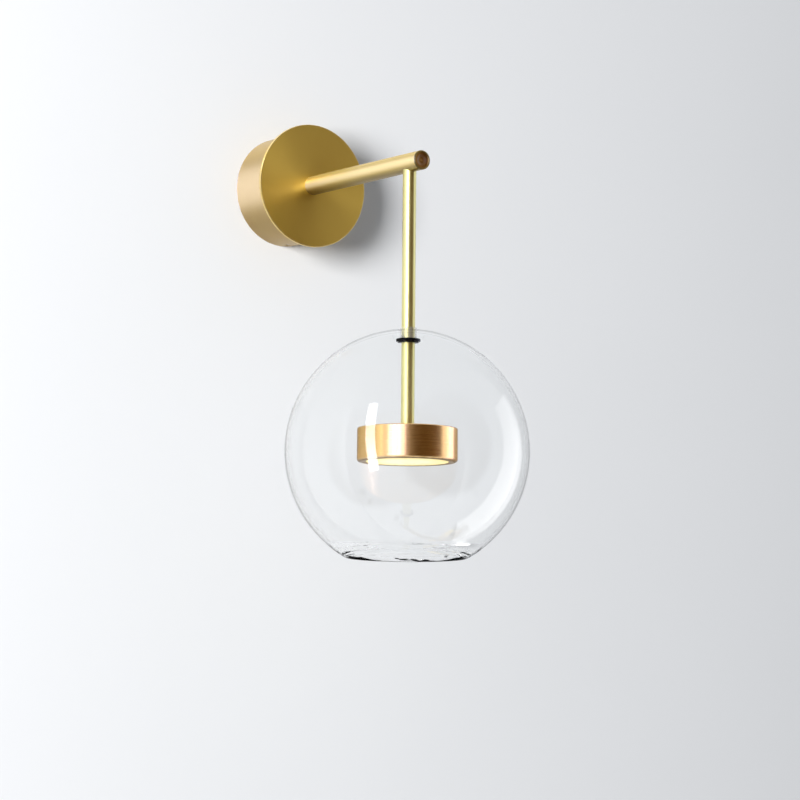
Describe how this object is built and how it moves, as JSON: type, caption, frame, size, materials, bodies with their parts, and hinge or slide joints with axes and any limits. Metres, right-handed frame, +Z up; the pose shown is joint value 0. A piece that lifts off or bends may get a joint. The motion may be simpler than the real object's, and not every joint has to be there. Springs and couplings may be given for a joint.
{
  "type": "globe wall light",
  "caption": "Brass wall sconce: round canopy with a wider disc, straight arm and hanging rod that carries a clear glass globe, open below, around a lit disc head.",
  "frame": {"origin": "centre of the canopy on the wall plane, midway between the two wall-screw slots", "axes": "+Z up, -Y out of the wall into the room along the arm, +X to the right seen from the room"},
  "size_m": [0.2, 0.295, 0.3771],
  "materials": {
    "satin_brass": "satin, circular-brushed on turned faces, lacquered",
    "raw_brass": "machined",
    "zinc_steel": "zinc plated",
    "tinned_copper": "tinned copper",
    "black_steel": "blackened spring steel",
    "clear_glass": "clear blown glass, fire polished",
    "clear_silicone": "clear silicone",
    "black_rubber": "matt black",
    "plate_aluminium": "turned",
    "board_white": "white solder mask on an aluminium core",
    "chip_yellow": "phosphor resin",
    "white_nylon": "moulded nylon",
    "driver_white": "moulded, fine grain",
    "grey_foam": "closed-cell foam tape",
    "opal_lit": "opal acrylic, lit from behind, warm white",
    "wire_brown": "insulated wire",
    "wire_blue": "insulated wire",
    "wire_earth": "insulated wire, green with a yellow stripe",
    "lead_white": "two-core sheathed lead"
  },
  "bodies": {
    "fixture": {"arm_base_plug": "raw_brass", "arm_end_plug": "satin_brass", "arm_lock_nut": "raw_brass", "arm_lock_washer": "zinc_steel", "arm_nipple": "raw_brass", "arm_tee": "raw_brass", "arm_tube": "satin_brass", "bezel_ring": "satin_brass", "board_connector": "white_nylon", "board_screws": "zinc_steel", "cable_bush": "black_rubber", "canopy": "satin_brass", "canopy_cover": "satin_brass", "canopy_grub_screws": "black_steel", "diffuser": "opal_lit", "driver_case": "driver_white", "driver_pad": "grey_foam", "earth_lead": "wire_earth", "earth_screw": "zinc_steel", "earth_tag": "tinned_copper", "globe_clip": "black_steel", "globe_washer": "black_rubber", "head_housing": "satin_brass", "head_lock_washer": "zinc_steel", "heat_sink": "plate_aluminium", "led_board": "board_white", "led_chips": "chip_yellow", "led_lead": "lead_white", "live_lead": "wire_brown", "neutral_lead": "wire_blue", "rod_tube": "satin_brass", "spacer_ring": "white_nylon", "terminal_block": "white_nylon", "terminal_clamps": "raw_brass", "terminal_screws": "raw_brass", "wall_bracket": "zinc_steel"},
    "globe_carrier": {"globe_bush": "clear_silicone"},
    "globe_ball": {"globe": "clear_glass"}
  },
  "joints": [
    {"name": "globe_lift", "type": "slide", "parent": "fixture", "child": "globe_carrier", "axis": [0, 0, 1], "range_m": [0, 0.127]},
    {"name": "globe_turn", "type": "hinge", "parent": "globe_carrier", "child": "globe_ball", "pos_m": [0, -0.195, -0.238], "axis": [0, 0, 1], "continuous": true}
  ]
}
